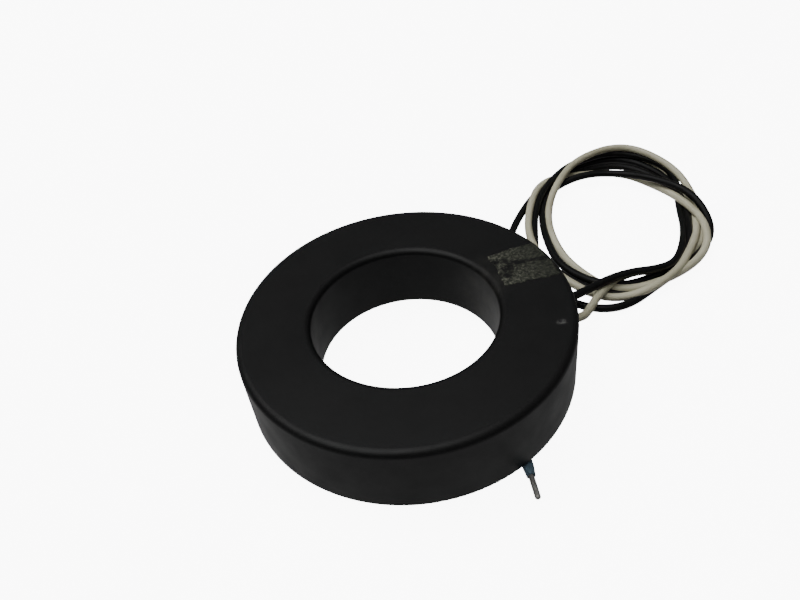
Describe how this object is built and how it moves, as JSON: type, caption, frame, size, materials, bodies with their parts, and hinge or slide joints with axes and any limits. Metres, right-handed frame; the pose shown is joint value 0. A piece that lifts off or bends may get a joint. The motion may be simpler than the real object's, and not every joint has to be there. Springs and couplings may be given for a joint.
{
  "type": "current transformer",
  "caption": "Black moulded ring with an open round window for a conductor, an enclosed toroidal winding, and a white and a black insulated lead in a loose coil.",
  "frame": {"origin": "centre of the window, half-way up the ring", "axes": "+Z along the window's axis towards the closed top face, +X towards the side where the leads come out, -Y towards the side where the black lead's end shows"},
  "size_m": [0.1964, 0.184, 0.0336],
  "materials": {
    "housing": "satin",
    "cover": "matte",
    "potting": "gloss",
    "core_steel": "brushed",
    "core_cap": "matte",
    "winding_copper": "enamelled",
    "tinned_metal": "satin",
    "sleeve": "satin",
    "lead_white": "satin",
    "lead_black": "satin",
    "collar_blue": "satin"
  },
  "bodies": {
    "root": {"case_shell": "housing", "base_cover": "cover", "potting_fill": "potting", "wound_core": "core_steel", "core_cap_upper": "core_cap", "core_cap_lower": "core_cap", "secondary_winding": "winding_copper", "splice_barrel_white": "tinned_metal", "splice_barrel_black": "tinned_metal", "splice_sleeve_white": "sleeve", "splice_sleeve_black": "sleeve", "lead_coil": "lead_black", "white_lead_tail": "lead_white", "black_lead_tail": "lead_black", "white_lead_end": "lead_white", "black_lead_end": "lead_black", "white_end_collar": "collar_blue", "black_end_collar": "collar_blue", "white_end_pin": "tinned_metal", "black_end_pin": "tinned_metal"}
  },
  "joints": []
}
